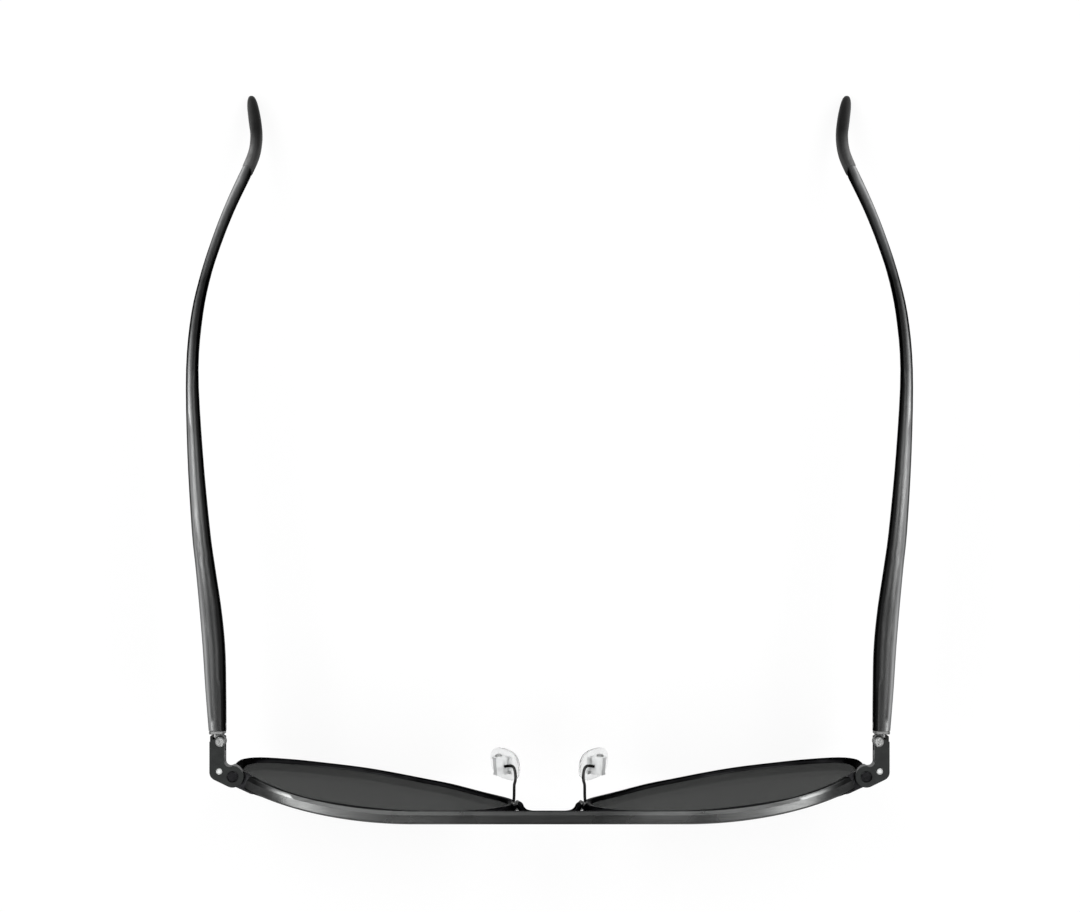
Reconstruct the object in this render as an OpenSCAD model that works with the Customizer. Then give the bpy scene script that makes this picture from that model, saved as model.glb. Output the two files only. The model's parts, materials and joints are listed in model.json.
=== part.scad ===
// Pilot sunglasses in metal, with a brow bar, a lower bridge and flexing hinges.
// X runs across the face, the front looks along -Y and +Z is up. Sizes are in mm.
// The pair stands open, as it lies on a table: on its rim bottoms and temple tips.
// The origin is on the table, under the middle of the pair.
// Right is the +X side. Each left piece is the right one mirrored.

/* [Overall] */
// Length from the front of the brow bar to the ends of the temple tips
total_l = 149.6; // [140:0.1:160]
// Lean of the front, with its lower edge nearer the face
front_tilt = 5.8; // [4:0.1:8]

/* [Rims] */
// Width of one rim over its outside
rim_w = 58.2; // [56:0.1:61]
// Height of one rim over its outside
rim_h = 46; // [43:0.1:49]
// Gap between the two rims at the nose
nose_gap = 13.7; // [12.5:0.1:16]
// Thickness of the rim wire, seen from the front
rim_t = 1.8; // [1.6:0.05:2.2]
// Depth of the rim wire, front to back
rim_d = 2.2; // [2:0.05:2.6]
// Depth of the lens groove in the rim wire
groove_d = 0.6; // [0.4:0.05:0.8]
// Chamfer along the corners of the rim wire
rim_chamfer = 0.35; // [0.2:0.05:0.4]
// Slit that lets the rim open for its lens
rim_slit = 0.3; // [0.2:0.05:0.5]

/* [Lenses] */
// Thickness of a lens
lens_t = 1.1; // [0.9:0.05:1.3]
// Radius of the lens surface
lens_r = 130; // [110:1:160]
// Angle by which each lens turns round the face
face_form = 6; // [4:0.1:9]
// Depth of the foremost point of a lens behind the front of the brow bar
lens_back = -0.8; // [-1:0.05:0]

/* [Brow bar and bridge] */
// Depth of the brow bar, front to back
bar_d = 2.6; // [2.3:0.05:2.9]
// Height of the brow bar
bar_h = 2; // [1.6:0.05:2.4]
// Chamfer along the corners of the brow bar
bar_chamfer = 0.35; // [0.2:0.05:0.5]
// Slope along the upper rear edge of the brow bar
bar_bevel = 0.7; // [0.35:0.05:0.9]
// Half length of the straight middle of the brow bar
bar_straight = 27; // [22:0.5:30]
// Radius of the brow bar beside its straight middle
bar_r = 98; // [85:0.5:110]
// Radius of the lower bridge
bridge_r = 0.75; // [0.65:0.05:0.85]
// Rise of the middle of the lower bridge above its ends
bridge_rise = 6; // [4:0.1:8]

/* [Nose pads] */
// Height of a nose pad
pad_h = 13.4; // [12:0.1:14.5]
// Width of a nose pad
pad_w = 6.4; // [6:0.1:7.5]
// Thickness of a nose pad
pad_t = 2.2; // [2:0.1:2.5]
// Lean of a pad, with its top nearer the nose
pad_tilt = 25; // [20:0.5:28]
// Turn of a pad, with its rear edge farther from the nose
pad_splay = 4; // [0:0.5:10]
// Distance of a pad's middle from the middle of the nose
pad_x = 9; // [8.7:0.1:10]
// Depth of a pad's middle behind the front of the brow bar
pad_back = 10.5; // [10:0.1:11.5]
// Height of a pad's middle below the tops of the rims
pad_drop = 19.5; // [17:0.1:21]
// Radius of the wire of a pad arm
arm_r = 0.33; // [0.28:0.01:0.4]
// Radius of the screw that holds a pad
pad_screw_r = 0.4; // [0.3:0.01:0.45]

/* [Hinge brackets] */
// Height of the middle of a hinge below the tops of the rims
hinge_drop = 7; // [6.5:0.1:7.8]
// Distance of a hinge pin outward from the side of the rim
pin_out = 1.45; // [1.2:0.05:1.8]
// Depth of a hinge pin behind the front of the brow bar
pin_back = 16; // [15.6:0.1:16.6]
// Height of a hinge bracket
bracket_h = 6.2; // [5.8:0.1:6.6]
// Width of the arm of a bracket, seen from above
bracket_w = 3; // [2.9:0.05:3.4]
// Thickness of each of the two ears of a bracket
ear_t = 1.4; // [1.2:0.05:1.5]
// Radius of the ears behind the pin
ear_r = 1.2; // [1.1:0.02:1.3]
// Radius of the round end over the rim
bracket_end_r = 2.2; // [2:0.05:2.3]
// Radius of the outer front corner
bracket_corner_r = 1.7; // [1.5:0.05:1.9]

/* [Fasteners] */
// Radius of the hinge screw
pin_r = 0.65; // [0.55:0.01:0.7]
// Radius of the head of the hinge screw
pin_head_r = 0.98; // [0.9:0.01:1.1]
// Radius of the bracket rivet
rivet_r = 0.62; // [0.5:0.01:0.7]
// Radius of the screw that closes the rim
rim_screw_r = 0.6; // [0.5:0.01:0.7]
// Radius of the head of the screw that closes the rim
rim_screw_head_r = 1.15; // [1:0.01:1.3]

/* [Spring hinge] */
// Radius of the knuckle of the slider
knuckle_r = 1.05; // [1:0.01:1.1]
// Radius of the rod of the slider
rod_r = 0.55; // [0.5:0.01:0.6]
// Distance from the pin to the end of the rod
rod_reach = 10.9; // [10.5:0.1:12]
// Distance from the pin to the front of the end plate
plate_back = 1.5; // [1.45:0.01:1.6]
// Thickness of the end plate
plate_t = 0.65; // [0.6:0.05:0.8]
// Length of the plug behind the end plate
plug_l = 1.9; // [1.6:0.1:2.2]
// Radius of the spring pocket in the temple
pocket_r = 1.1; // [1.05:0.01:1.15]
// Radius of the spring wire
spring_wire_r = 0.15; // [0.12:0.01:0.16]
// Distance from turn to turn of the spring
spring_pitch = 0.76; // [0.74:0.01:0.85]
// Number of turns of the spring
spring_turns = 6; // [5:0.5:6]
// Length of the nut on the rod
nut_l = 1; // [0.8:0.1:1.2]
// Radius of the screw that locks the plug
plug_screw_r = 0.35; // [0.3:0.01:0.4]

/* [Temples] */
// Greatest width of a temple, seen from above
temple_w = 4.5; // [4.3:0.05:4.8]
// Greatest height of a temple
temple_h = 7.2; // [6.6:0.1:7.6]
// Greatest distance of a temple's middle line outward from its pin
temple_bow = 6.2; // [5.5:0.1:7]
// Width of a temple tip, seen from above
tip_w = 2.7; // [2.5:0.05:2.9]
// Height of a temple tip
tip_h = 4.6; // [4.2:0.1:5.2]
// Radius of the core wire inside a temple tip
core_r = 0.7; // [0.5:0.05:0.8]

/* [Hidden] */
$fn = 48;

// Clearances: solder seams, the lens in its groove, running fits, and the overrun of cuts
solder_gap = 0.04;
lens_play = 0.1;
face_play = 0.04;
fit_play = 0.03;
run_play = 0.06;
side_play = 0.1;
mould_gap = 0.02;
overrun = 1;
lens_fn = 240;

front_y = -total_l / 2;
lens_x = (nose_gap + rim_w) / 2;
rim_out_x = nose_gap / 2 + rim_w;

// Splines and small vector helpers
function spline(a, b, c, d, t) =
    (2 * b + (c - a) * t + (2 * a - 5 * b + 4 * c - d) * t * t
        + (3 * b - a - 3 * c + d) * t * t * t) / 2;
function wrap_item(list, i) = list[(i + len(list)) % len(list)];
function held_item(list, i) = list[max(0, min(len(list) - 1, i))];
function loop_at(list, s) =
    let (i = floor(s))
    spline(wrap_item(list, i - 1), wrap_item(list, i),
        wrap_item(list, i + 1), wrap_item(list, i + 2), s - i);
function path_at(list, s) =
    let (i = min(floor(s), len(list) - 2))
    spline(held_item(list, i - 1), list[i], list[i + 1], held_item(list, i + 2), s - i);
function unit(v) = v / norm(v);
function lerp(a, b, t) = a + (b - a) * t;
function turn_y(v, a) = [v.x * cos(a) + v.z * sin(a), v.y, v.z * cos(a) - v.x * sin(a)];
function turn_z(v, a) = [v.x * cos(a) - v.y * sin(a), v.x * sin(a) + v.y * cos(a), v.z];

// Rim outline from the nose over the top to the temple side and back, as shares of
// the rim's width from its nose side and of its height from its top
rim_outline_shares = [
    [0, 0.37], [0.018, 0.19], [0.09, 0.05], [0.21, 0.005], [0.37, 0], [0.54, 0],
    [0.7, 0.012], [0.82, 0.048], [0.91, 0.115], [0.97, 0.22], [0.999, 0.375],
    [1, 0.565], [0.983, 0.705], [0.92, 0.83], [0.805, 0.93], [0.68, 0.983],
    [0.56, 1], [0.45, 0.977], [0.34, 0.921], [0.225, 0.832], [0.12, 0.684], [0.033, 0.515]];
rim_points = [for (p = rim_outline_shares) [nose_gap / 2 + p.x * rim_w, -p.y * rim_h]];
rim_rings = 80;

function outline(s) = loop_at(rim_points, s);
function inward(s) =
    let (d = unit(outline(s + 0.01) - outline(s - 0.01)))
    [d.y, -d.x];
function outline_step(i) = i * len(rim_points) / rim_rings;
function inset_outline(inset) =
    [for (i = [0:rim_rings - 1]) let (s = outline_step(i)) outline(s) + inset * inward(s)];

// Lens sphere in the front's own frame: x across, y behind the brow bar, z up from the
// rim tops. The foremost point of the sphere lies nearer the nose than the lens's middle.
pole = [lens_x - lens_r * sin(face_form), lens_back, -rim_h / 2];
function lens_depth(x, z, behind) =
    pole.y + lens_r - sqrt(pow(lens_r - behind, 2) - pow(x - pole.x, 2) - pow(z - pole.z, 2));
function on_lens(p, behind) = [p.x, lens_depth(p.x, p.y, behind), p.y];

// The front's own frame leans back and is lifted until the rims touch the table
function lean(p) =
    [p.x, p.y * cos(front_tilt) - p.z * sin(front_tilt),
        p.y * sin(front_tilt) + p.z * cos(front_tilt)];
rim_top_z = -min([for (p = inset_outline(0), b = [-rim_d / 2 + rim_chamfer, rim_d / 2 - rim_chamfer])
    lean(on_lens(p, b)).z]);
function place(p) = lean(p) + [0, front_y, rim_top_z];
module in_front() translate([0, front_y, rim_top_z]) rotate([front_tilt, 0, 0]) children();

// Hinge places
hinge_z = rim_top_z - hinge_drop;
pin = [rim_out_x + pin_out, front_y + pin_back];
slot_h = bracket_h - 2 * ear_t;
bracket_in_x = pin.x - bracket_w * 0.27;
bracket_out_x = bracket_in_x + bracket_w;
rivet = pin + [bracket_w * 0.07, -pin_back * 0.373];
rim_screw = pin + [-bracket_w * 0.83, -pin_back * 0.44];
corner = [bracket_out_x - bracket_corner_r, rivet.y - bracket_corner_r * 0.1];

// Sweep of closed rings, which turn by the right-hand rule about the way they are swept
module sweep(rings, loop = false) {
    m = len(rings[0]);
    n = len(rings);
    sides = [for (i = [0:(loop ? n - 1 : n - 2)], j = [0:m - 1])
        let (a = i * m, b = ((i + 1) % n) * m, k = (j + 1) % m)
        each [[a + j, b + j, b + k], [a + j, b + k, a + k]]];
    caps = loop ? [] : [[for (j = [0:m - 1]) j], [for (j = [m - 1:-1:0]) (n - 1) * m + j]];
    polyhedron(points = [for (ring = rings) each ring], faces = concat(sides, caps), convexity = 10);
}

// Round ring about a path point, given the way the path runs and an upright direction
function round_ring(c, way, up, r, sides) =
    let (t = unit(way), n = unit(cross(up, t)), b = cross(t, n))
    [for (j = [0:sides - 1]) c + r * (n * cos(j * 360 / sides) + b * sin(j * 360 / sides))];
function path_rings(list, count, up, r, sides) =
    [for (i = [0:count])
        let (s = i * (len(list) - 1) / count,
            before = path_at(list, max(0, s - 0.02)),
            after = path_at(list, min(len(list) - 1, s + 0.02)))
        round_ring(path_at(list, s), after - before, up, r, sides)];

module left() mirror([1, 0, 0]) children();

// Prism of the rim outline through the front, inset from or grown past the rim's outside
module outline_prism(inset)
    in_front() rotate([90, 0, 0])
        linear_extrude(height = 2 * lens_r, center = true) polygon(inset_outline(inset));

// Two circles joined by their outer tangents
module taper_link(a, ra, b, rb) {
    d = b - a;
    base = atan2(d.y, d.x);
    open = acos((ra - rb) / norm(d));
    translate(a) circle(ra);
    translate(b) circle(rb);
    polygon([
        a + ra * [cos(base + open), sin(base + open)], a + ra * [cos(base - open), sin(base - open)],
        b + rb * [cos(base - open), sin(base - open)], b + rb * [cos(base + open), sin(base + open)]]);
}

module at_hinge_level(height) translate([0, 0, hinge_z]) linear_extrude(height = height, center = true) children();

// Rim: a grooved wire bent round the lens, closed at the slit lug by the rim screw
lug_r = bracket_end_r * 0.8;
lug_h = slot_h - 2 * fit_play;
hinge_step = [for (s = [8:0.02:11]) if (place(on_lens(outline(s), 0)).z < hinge_z) s][0];
rim_side = place(on_lens(outline(hinge_step), 0));
lug_root = [rim_side.x - rim_t * 1.15, rim_side.y];

module lug_plan(r)
    taper_link(rim_screw, r, lug_root, r);

module rim_wire() {
    h = rim_d / 2;
    g = lens_t / 2 + face_play;
    c = rim_chamfer;
    profile = [
        [0, c - h], [c, -h], [rim_t - c, -h], [rim_t, c - h],
        [rim_t, -g], [rim_t - groove_d, -g], [rim_t - groove_d, g], [rim_t, g],
        [rim_t, h - c], [rim_t - c, h], [c, h], [0, h - c]];
    sweep([for (i = [0:rim_rings - 1])
        let (s = outline_step(i))
        [for (q = profile) place(on_lens(outline(s) + q.x * inward(s), q.y))]], loop = true);
}

module rim() color([0.2, 0.2, 0.2]) difference() {
    union() {
        rim_wire();
        difference() {
            at_hinge_level(lug_h) lug_plan(lug_r);
            outline_prism(rim_chamfer);
        }
    }
    translate([rim_screw.x, rim_screw.y, hinge_z])
        cube([6 * lug_r, 6 * lug_r, rim_slit], center = true);
    translate([rim_screw.x, rim_screw.y, hinge_z])
        cylinder(r = rim_screw_r + fit_play, h = bracket_h, center = true);
}

// Lens: a slice of a thin spherical shell, cut to the groove
module lens() color([0.29, 0.3, 0.3]) intersection() {
    outline_prism(rim_t - groove_d + lens_play);
    in_front() translate([pole.x, pole.y + lens_r, pole.z]) difference() {
        sphere(r = lens_r + lens_t / 2, $fn = lens_fn);
        sphere(r = lens_r - lens_t / 2, $fn = lens_fn);
    }
}

// Brow bar: a flat wire on top of both rims, which follows their outline to the sides
bar_top_step = 4;
bar_end_step = 8.1;
bar_steps = 28;
bar_mid_steps = 6;

function bar_depth(x) = abs(x) < bar_straight ? 0 : bar_r - sqrt(pow(bar_r, 2) - pow(abs(x) - bar_straight, 2));
function bar_turn(x) = abs(x) < bar_straight ? 0 : sign(x) * asin((abs(x) - bar_straight) / bar_r);
function bar_ring(p, out, side) =
    let (a = bar_turn(side * p.x), c = bar_chamfer, b = bar_bevel, h = bar_h / 2,
        profile = [[c, -h], [bar_d - c, -h], [bar_d, c - h], [bar_d, h - b * 0.6],
            [bar_d - b, h], [c, h], [0, h - c], [0, c - h]])
    [for (q = profile)
        place([side * (p.x + q.y * out.x) - q.x * sin(a), bar_depth(p.x) + q.x * cos(a), p.y + q.y * out.y])];
bar_half = concat(
    [for (i = [0:bar_mid_steps - 1])
        [[outline(bar_top_step).x * i / bar_mid_steps, outline(bar_top_step).y], [0, 1]]],
    [for (i = [0:bar_steps])
        let (s = lerp(bar_top_step, bar_end_step, i / bar_steps)) [outline(s), -inward(s)]]);
bar_gap = rim_chamfer * 0.43;
bar_lift = bar_h / 2 + bar_gap;

module brow_bar() color([0.25, 0.25, 0.25])
    sweep(concat(
        [for (i = [len(bar_half) - 1:-1:1]) let (e = bar_half[i]) bar_ring(e[0] + bar_lift * e[1], e[1], -1)],
        [for (e = bar_half) bar_ring(e[0] + bar_lift * e[1], e[1], 1)]));

// Lower bridge: a round wire that arches forward between the rims under the brow bar
bridge_shares = [[0, 0, 0], [0.052, 0.02, 0.06], [0.083, 0.3, 0.17], [0.13, 0.57, 0.28],
    [0.24, 0.88, 0.48], [0.425, 0.99, 0.7], [0.7, 1, 0.92], [1, 1, 1]];
bridge_rings = 24;
bridge_sides = 12;
bridge_end = place(on_lens(outline(0), rim_d * 0.18) - [solder_gap + bridge_r * 0.5, 0, 0]);
bridge_mid = [0, front_y + bridge_r, bridge_end.z + bridge_rise];
bridge_side = [for (p = bridge_shares)
    [lerp(bridge_end.x, 0, p.x), lerp(bridge_end.y, bridge_mid.y, p.y), lerp(bridge_end.z, bridge_mid.z, p.z)]];
bridge_path = concat(
    [for (p = bridge_side) [-p.x, p.y, p.z]],
    [for (i = [len(bridge_side) - 2:-1:0]) bridge_side[i]]);

module lower_bridge() color([0.2, 0.2, 0.2])
    sweep(path_rings(bridge_path, bridge_rings, [0, 0, 1], bridge_r, bridge_sides));

// Hinge bracket: an L seen from above, with a fork for the rim lug in front and a fork
// for the slider behind, and a solid web between them
fillet_r = bracket_corner_r * 0.6;

module bracket_plan() difference() {
    union() {
        taper_link(corner, bracket_corner_r, rim_screw, bracket_end_r);
        translate([bracket_in_x, corner.y])
            square([bracket_w, pin.y - corner.y]);
        intersection() {
            translate(pin) circle(ear_r);
            translate([bracket_in_x, pin.y - ear_r]) square([bracket_w, 2 * ear_r]);
        }
        polygon([pin - [0, ear_r], [bracket_out_x, pin.y - ear_r], [bracket_out_x, pin.y + wall_back * 0.85],
            [wall_in_x, pin.y + wall_back], [wall_in_x, pin.y + ear_r * 0.5], pin]);
        translate([bracket_in_x - fillet_r, rim_screw.y]) square([fillet_r + overrun,
            bracket_end_r * 0.9 + fillet_r]);
    }
    translate([bracket_in_x - fillet_r, rim_screw.y + bracket_end_r * 0.9 + fillet_r]) circle(fillet_r);
}

// The wall at the outside of the fork, behind which the neck of the slider swings
wall_in_x = pin.x + bracket_w * 0.53;
wall_back = plate_back * 0.8;
fork_r = ear_r + bracket_w * 0.28;
module hinge_bracket() color([0.2, 0.21, 0.2]) difference() {
    at_hinge_level(bracket_h) bracket_plan();
    at_hinge_level(slot_h) union() {
        lug_plan(lug_r + side_play);
        intersection() {
            union() {
                translate(pin) circle(fork_r);
                translate([pin.x - 2 * fork_r, pin.y]) square([4 * fork_r, 2 * fork_r]);
            }
            translate([pin.x - 2 * fork_r, pin.y - fork_r]) square([wall_in_x - pin.x + 2 * fork_r, 3 * fork_r]);
        }
    }
    translate([0, 0, hinge_z + slot_h / 2 + ear_t / 2]) linear_extrude(height = ear_t + overrun, center = true)
        polygon([[bracket_out_x + overrun, pin.y], [bracket_out_x, pin.y],
            pin + ear_r * [cos(50), sin(50)], [wall_in_x, pin.y + 2 * ear_r],
            [bracket_out_x + overrun, pin.y + 2 * ear_r]]);
    outline_prism(-side_play);
    translate([pin.x, pin.y, hinge_z])
        cylinder(r = pin_r + fit_play, h = bracket_h + 2 * overrun, center = true);
    translate([rivet.x, rivet.y, hinge_z])
        cylinder(r = rivet_r, h = bracket_h + 2 * overrun, center = true);
    translate([rim_screw.x, rim_screw.y, hinge_z])
        cylinder(r = rim_screw_r + fit_play, h = bracket_h + 2 * overrun, center = true);
}

// Screw along +Z from its head's seat at zero, with a slotted head and a plain shank
module screw(r, head_r, head_h, length) difference() {
    union() {
        cylinder(r = head_r, h = head_h * 0.6);
        translate([0, 0, head_h * 0.6])
            cylinder(r1 = head_r, r2 = head_r * 0.75, h = head_h * 0.4);
        translate([0, 0, -length]) cylinder(r = r, h = length);
    }
    translate([0, 0, head_h]) cube([2 * head_r, head_r * 0.28, head_h], center = true);
}

pin_head_h = pin_head_r * 0.5;
module hinge_screw() color([0.72, 0.72, 0.7])
    translate([pin.x, pin.y, hinge_z + bracket_h / 2])
        rotate([0, 0, 70]) screw(pin_r, pin_head_r, pin_head_h, bracket_h);

module rim_screw() color([0.12, 0.12, 0.12])
    translate([rim_screw.x, rim_screw.y, hinge_z + bracket_h / 2])
        rotate([0, 0, 20]) screw(rim_screw_r, rim_screw_head_r, rim_screw_head_r * 0.3, bracket_h - ear_t * 0.3);

rivet_dome = rivet_r * 0.3;
module bracket_rivet() color([0.75, 0.77, 0.76])
    translate([rivet.x, rivet.y, hinge_z]) {
        cylinder(r = rivet_r, h = bracket_h, center = true);
        for (end = [0, 180]) rotate([end, 0, 0])
            translate([0, 0, bracket_h / 2]) cylinder(r1 = rivet_r, r2 = rivet_r * 0.6, h = rivet_dome);
    }

// Slider: a knuckle on the hinge screw, with a rod that a spring pulls into the temple
rod_x = pin.x + bracket_w * 0.22;
slider_h = slot_h - 2 * run_play;
neck_end = plate_back - side_play * 2;
module along_rod(y) translate([rod_x, pin.y + y, hinge_z]) rotate([-90, 0, 0]) children();

module hinge_slider() color([0.66, 0.66, 0.64]) {
    difference() {
        union() {
            translate([pin.x, pin.y, hinge_z]) cylinder(r = knuckle_r, h = slider_h, center = true);
            translate([pin.x - knuckle_r / 2, pin.y, hinge_z - slider_h / 2])
                cube([knuckle_r * 1.6, neck_end, slider_h]);
            along_rod(neck_end / 2) cylinder(r = rod_r, h = rod_reach - neck_end / 2);
        }
        translate([pin.x, pin.y, hinge_z])
            cylinder(r = pin_r + run_play, h = bracket_h, center = true);
    }
}

// End plate: the bright plate at the front of the temple, with a plug in the pocket
temple_y = pin.y + plate_back + plate_t;
plug_end = plate_back + plate_t + plug_l;
plate_w = bracket_w * 1.03;
plate_h = temple_h * 0.96;
plate_corner = plate_w * 0.22;
plug_screw_back = plate_back + plate_t + plug_l / 2;

module end_plate() color([0.68, 0.68, 0.66]) difference() {
    union() {
        hull() for (x = [plate_corner, plate_w - plate_corner], z = [-1, 1])
            translate([bracket_in_x + x, pin.y + plate_back + plate_t, hinge_z + z * (plate_h / 2 - plate_corner)])
                rotate([90, 0, 0]) cylinder(r = plate_corner, h = plate_t, $fn = 24);
        along_rod(plate_back + plate_t / 2)
            cylinder(r = pocket_r - fit_play, h = plug_l + plate_t / 2);
    }
    along_rod(0) cylinder(r = rod_r + run_play, h = rod_reach);
    translate([bracket_in_x - overrun, pin.y + plug_screw_back, hinge_z]) rotate([0, 90, 0])
        cylinder(r = plug_screw_r, h = rod_x - rod_r - run_play - bracket_in_x + overrun);
}

// Screw through the inner wall of the temple into the plug
plug_screw_tip = rod_x - rod_r - run_play * 2;
module plug_screw() color([0.6, 0.6, 0.6])
    translate([bracket_in_x, pin.y + plug_screw_back, hinge_z]) rotate([0, -90, 0])
        screw(plug_screw_r - fit_play, plug_screw_r * 2, plug_screw_r * 0.7, plug_screw_tip - bracket_in_x);

// Spring: pressed between the plug and the nut when the hinge flexes
spring_l = spring_pitch * spring_turns;
spring_start = plug_end + spring_wire_r + fit_play;
spring_coil_r = (pocket_r + rod_r) / 2;
spring_steps = 9;
spring_sides = 6;
spring_gap = min([for (k = [0:spring_steps])
    norm([spring_coil_r, 0, 0] - [spring_coil_r * cos(k * 20 / spring_steps),
        spring_coil_r * sin(k * 20 / spring_steps), spring_pitch * (1 + k * 20 / spring_steps / 360)])])
    - 2 * spring_wire_r;
echo(least_gap_of_the_spring_to_itself = spring_gap);

module flex_spring() color([0.6, 0.6, 0.6])
    sweep([for (i = [0:spring_steps * spring_turns])
        let (a = i * 360 / spring_steps,
            c = [rod_x + spring_coil_r * cos(a), pin.y + spring_start + spring_pitch * a / 360,
                hinge_z - spring_coil_r * sin(a)])
        round_ring(c, [-spring_coil_r * sin(a), spring_pitch / (2 * PI), -spring_coil_r * cos(a)],
            [cos(a), 0, -sin(a)], spring_wire_r, spring_sides)]);

// Nut: a ring on the end of the rod that the spring pushes against
nut_start = spring_start + spring_l + spring_wire_r + fit_play;
module spring_nut() color([0.62, 0.62, 0.6]) difference() {
    along_rod(nut_start) cylinder(r = pocket_r - side_play, h = nut_l);
    along_rod(0) cylinder(r = rod_r + fit_play / 2, h = 2 * rod_reach);
}

// Temple stations: shares of the length behind the end plate, of the bow from the pin
// line, of the width, of the height, and of the drop to the tip
temple_shares = [
    [0, 0.12, 0.78, 0.97, 0], [0.06, 0.18, 0.915, 1, 0.01], [0.125, 0.245, 1, 0.98, 0.021],
    [0.185, 0.362, 0.98, 0.93, 0.031], [0.25, 0.535, 0.875, 0.88, 0.042], [0.31, 0.693, 0.815, 0.82, 0.053],
    [0.43, 0.895, 0.69, 0.72, 0.074], [0.555, 1, 0.555, 0.63, 0.096], [0.64, 0.867, 0.525, 0.58, 0.118],
    [0.705, 0.6, 0.46, 0.54, 0.16], [0.765, 0.24, 0.425, 0.52, 0.247], [0.82, -0.145, 0.41, 0.52, 0.37],
    [0.874, -0.585, 0.43, 0.53, 0.52]];
tip_shares = [
    [0.874, -0.585, 0.86, 0.8, 0.52], [0.905, -0.804, 0.89, 0.9, 0.61], [0.935, -0.845, 0.97, 1, 0.7],
    [0.962, -0.757, 1, 1.04, 0.78], [0.985, -0.652, 0.88, 0.96, 0.85], [0.996, -0.605, 0.6, 0.7, 0.883],
    [1, -0.59, 0.25, 0.3, 0.895]];
tip_over = tip_h * 0.11;
temple_l = total_l / 2 - temple_y - tip_over;
temple_rings = 46;
temple_sides = 14;
tip_rings = 26;
core_rings = 12;
core_sides = 8;

// A station holds [x, y, z, width, height]
function stations(shares, w, h, drop) =
    [for (r = shares) [pin.x + r[1] * temple_bow, temple_y + r[0] * temple_l, hinge_z - r[4] * drop, r[2] * w, r[3] * h]];
function rounded_section(sides) =
    [for (j = [0:sides - 1])
        let (a = (j + 0.5) * 360 / sides)
        [sign(cos(a)) * pow(abs(cos(a)), 0.7), -sign(sin(a)) * pow(abs(sin(a)), 0.7)] / 2];
function section_ring(st, slope, size, section) =
    [for (q = section)
        [st[0] + q.x * size.x, st[1] + q.y * size.y * sin(slope), st[2] + q.y * size.y * cos(slope)]];
function station_slope(list, s) =
    let (a = path_at(list, max(0, s - 0.05)), b = path_at(list, min(len(list) - 1, s + 0.05)))
    atan2(a[2] - b[2], b[1] - a[1]);
function station_rings(list, count, from, section, square_end = false) =
    [for (i = [0:count])
        let (s = lerp(from, len(list) - 1, i / count), st = path_at(list, s),
            slope = station_slope(list, s) * (square_end ? min(1, s) : 1))
        section_ring(st, slope, [st[3], st[4]], section)];

// The drop is set so that the tips end on the table
tip_seam = 0.04;
drop_guess = hinge_z;
tip_low = min([for (ring = station_rings(stations(tip_shares, tip_w, tip_h, drop_guess), tip_rings,
    tip_seam, rounded_section(temple_sides)), p = ring) p.z]);
low_share = 0.85;
temple_drop = drop_guess + tip_low / low_share;
temple_stations = stations(temple_shares, temple_w, temple_h, temple_drop);
tip_stations = stations(tip_shares, tip_w, tip_h, temple_drop);

core_start_step = len(temple_shares) - 1.3;
core_end_step = len(tip_shares) - 3.4;
function core_ring(share, r) =
    let (s = share * core_end_step,
        st = share < 0 ? path_at(temple_stations, core_start_step) : path_at(tip_stations, s),
        slope = share < 0 ? station_slope(temple_stations, core_start_step) : station_slope(tip_stations, s))
    section_ring(st, slope, [2 * r, 2 * r], rounded_section(core_sides));

pocket_end = rod_reach + side_play * 6;
module temple() color([0.14, 0.14, 0.14]) difference() {
    union() {
        sweep(station_rings(temple_stations, temple_rings, 0, rounded_section(temple_sides), true));
        sweep([for (i = [-1:core_rings]) core_ring(i / core_rings, core_r)]);
    }
    along_rod(plate_back) cylinder(r = pocket_r, h = pocket_end - plate_back);
    translate([bracket_in_x - temple_w, pin.y + plug_screw_back, hinge_z]) rotate([0, 90, 0])
        cylinder(r = plug_screw_r, h = rod_x - bracket_in_x + temple_w);
    translate([bracket_in_x - temple_w, pin.y + plug_screw_back, hinge_z]) rotate([0, 90, 0])
        cylinder(r = plug_screw_r * 2 + fit_play, h = temple_w);
}

// Tip: a soft sleeve over the core wire at the end of the temple, closed at its end
module temple_tip() color([0.08, 0.08, 0.08]) difference() {
    sweep(station_rings(tip_stations, tip_rings, tip_seam, rounded_section(temple_sides)));
    sweep([for (i = [-1:core_rings]) core_ring(i / core_rings, core_r + fit_play)]);
}

// Nose pad frame: x runs from the nose outward through the pad, z up along it
pad = [pad_x, front_y + pad_back, rim_top_z - pad_drop];
lug_width = pad_w * 0.44;
pad_lug_r = pad_t * 0.4;
cup_wall = arm_r * 1.1;
cup_r = pad_lug_r + side_play;
pivot_out = pad_t / 2 + cup_r + cup_wall + side_play;
pivot = [pivot_out, pad_w * 0.065, pad_h * 0.19];
module in_pad() translate(pad) rotate([front_tilt, 0, 0]) rotate([0, -pad_tilt, -pad_splay]) children();
function from_pad(p) = pad + lean(turn_z(turn_y(p, -pad_tilt), -pad_splay));
module across_pad(y) translate(pivot + [0, y, 0]) rotate([-90, 0, 0]) children();

// Pad rings: [place across the thickness, share of the outline]
pad_ring_shares = [[-0.5, 0.42], [-0.42, 0.72], [-0.28, 0.9], [-0.08, 1], [0.15, 1], [0.34, 0.93], [0.46, 0.8], [0.5, 0.66]];
pad_sides = 20;
function fuller(v) = sign(v) * pow(abs(v), 0.85);
module nose_pad() color([0.86, 0.88, 0.88, 0.6]) in_pad() difference() {
    sweep([for (r = pad_ring_shares) [for (j = [0:pad_sides - 1])
        let (a = j * 360 / pad_sides)
        [r.x * pad_t, r[1] * pad_w / 2 * fuller(cos(a)), r[1] * pad_h / 2 * fuller(sin(a))]]]);
    insert_body(mould_gap);
}

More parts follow.
